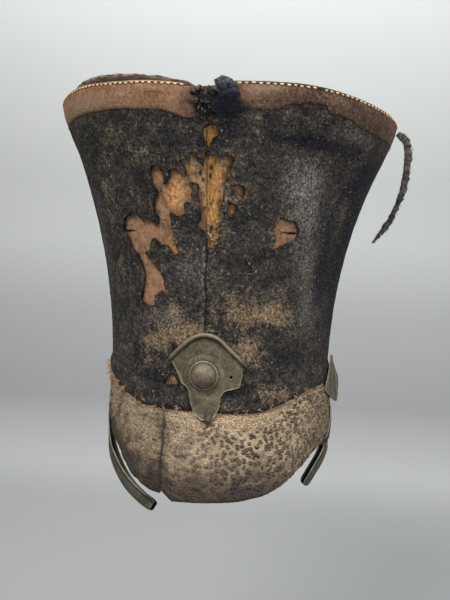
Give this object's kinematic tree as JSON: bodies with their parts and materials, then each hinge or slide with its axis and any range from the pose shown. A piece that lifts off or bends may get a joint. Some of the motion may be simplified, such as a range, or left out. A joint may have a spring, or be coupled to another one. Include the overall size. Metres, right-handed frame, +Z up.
{
  "type": "shako hat",
  "caption": "Worn bell-top shako: a flared leather body under torn felt, a stitched rim band, a dished crown, a split peak and sprung brass edging.",
  "frame": {"origin": "middle of the head opening at the body's lower rim, where the hat sits on a head", "axes": "+Z up along the body, -Y towards the front plate and the peak, +X towards the side that keeps its brass fitting"},
  "size_m": [0.2522, 0.2549, 0.2809],
  "materials": {
    "shell_leather": "dry matte",
    "felt": "worn matte",
    "seam_leather": "dry matte",
    "band_leather": "worn satin",
    "crown_leather": "dry matte",
    "peak_leather": "grained matte",
    "brass": "tarnished satin",
    "torn_leather": "dry matte",
    "wool": "fuzzy matte"
  },
  "bodies": {
    "root": {"body_shell": "shell_leather", "cloth_cover": "felt", "seam_strip": "seam_leather", "top_band": "band_leather", "crown": "crown_leather", "peak": "peak_leather", "peak_binding_left": "brass", "peak_binding_right": "brass", "front_plate": "brass", "front_button": "brass", "side_plate": "brass", "torn_strip": "torn_leather", "wool_remnant": "wool"}
  },
  "joints": []
}
